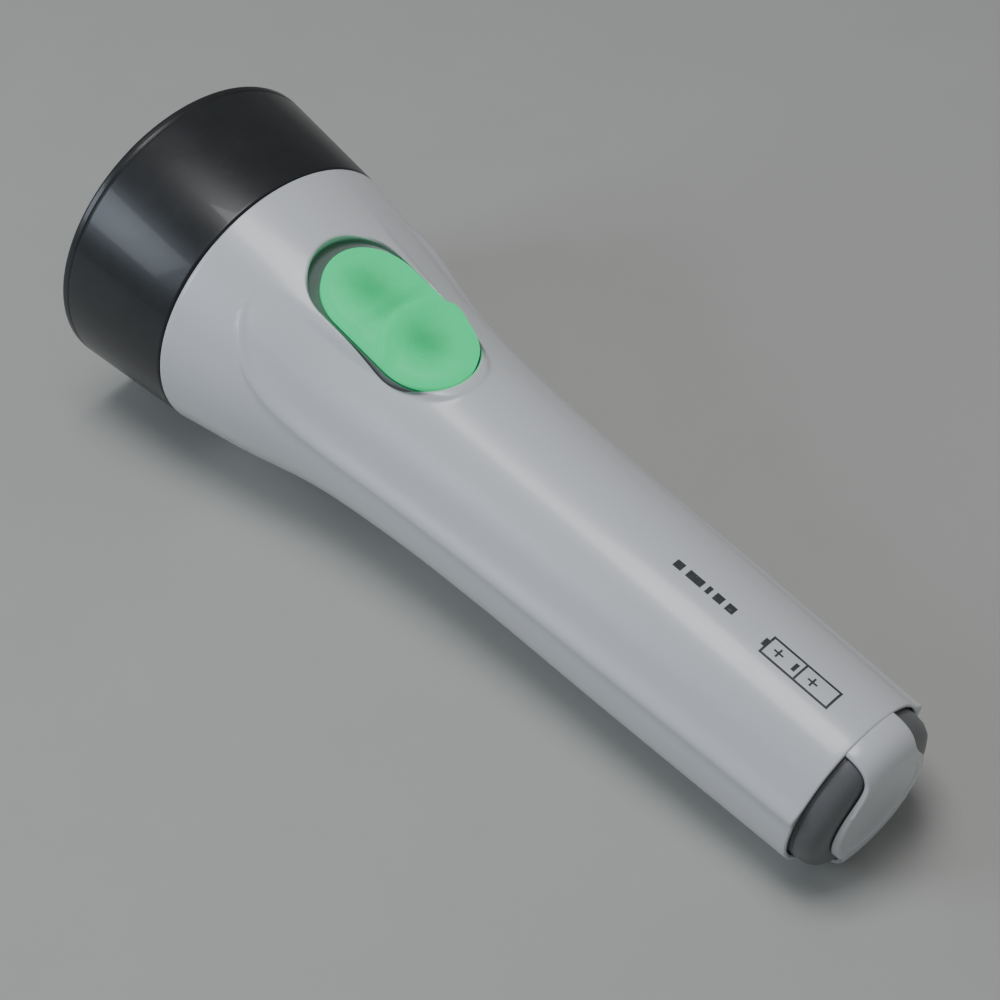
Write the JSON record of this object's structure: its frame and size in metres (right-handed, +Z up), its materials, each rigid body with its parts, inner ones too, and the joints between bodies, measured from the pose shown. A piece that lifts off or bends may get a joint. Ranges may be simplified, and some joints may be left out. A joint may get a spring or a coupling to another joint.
{
  "type": "hand torch",
  "caption": "Plastic hand torch for D cells, with a wide screw-on head, a luminous thumb slide switch and a flat tail disc to stand it on.",
  "frame": {"origin": "middle of the underside of the torch's box, on the surface it lies on", "axes": "+X towards the beam, along the torch seen from above; +Z up through the switch; the torch's own axis rises 5 degrees towards the head, because the head is wider than the tail"},
  "size_m": [0.2154, 0.0752, 0.0749],
  "materials": {
    "white_plastic": "satin moulded, light spark texture",
    "black_plastic": "glossy moulded",
    "grey_plastic": "satin moulded",
    "glow_plastic": "translucent moulded, glows green in the dark",
    "clear_plastic": "polished clear",
    "mirror_coat": "vacuum metallised",
    "tinned_steel": "tin plated",
    "brass": "stamped",
    "spring_steel": "drawn wire, nickel plated",
    "circuit_board": "solder mask",
    "black_rubber": "matt",
    "cell_jacket": "printed shrink sleeve"
  },
  "bodies": {
    "tube": {"body_shell": "white_plastic", "tail_cap": "grey_plastic", "tail_bracket": "white_plastic", "tail_plate": "tinned_steel", "tail_spring": "spring_steel", "tail_strip": "tinned_steel", "rear_cell": "cell_jacket", "rear_cell_cap": "tinned_steel", "front_cell": "cell_jacket", "front_cell_cap": "tinned_steel", "switch_tray": "black_plastic", "tray_screw_left": "spring_steel", "tray_screw_right": "spring_steel", "lamp_strip": "tinned_steel"},
    "slide": {"switch_pad": "glow_plastic", "switch_slider": "white_plastic", "slide_contact": "brass"},
    "lamp_unit": {"reflector": "mirror_coat", "lens": "clear_plastic", "lens_gasket": "black_rubber", "led_lamp": "clear_plastic", "led_board": "circuit_board", "board_resistor": "black_plastic", "lamp_holder": "white_plastic", "front_rivet": "brass", "front_spring": "spring_steel", "lamp_ring": "brass"},
    "head": {"head_ring": "black_plastic"}
  },
  "joints": [
    {"name": "switch_slide", "type": "slide", "parent": "tube", "child": "slide", "axis": [0.9732, 0, 0.2299], "range_m": [0, 0.0032]},
    {"name": "head_travel", "type": "slide", "parent": "tube", "child": "lamp_unit", "axis": [0.9963, 0, 0.0863], "range_m": [0, 0.00432]},
    {"name": "head_turn", "type": "hinge", "parent": "lamp_unit", "child": "head", "pos_m": [0.0892, 0, 0.03621], "axis": [0.9963, 0, 0.0863], "range_deg": [0, 360]}
  ],
  "couplings": [
    {"joint": "head_turn", "follows": "head_travel", "rad_per_m": 1454.4}
  ]
}
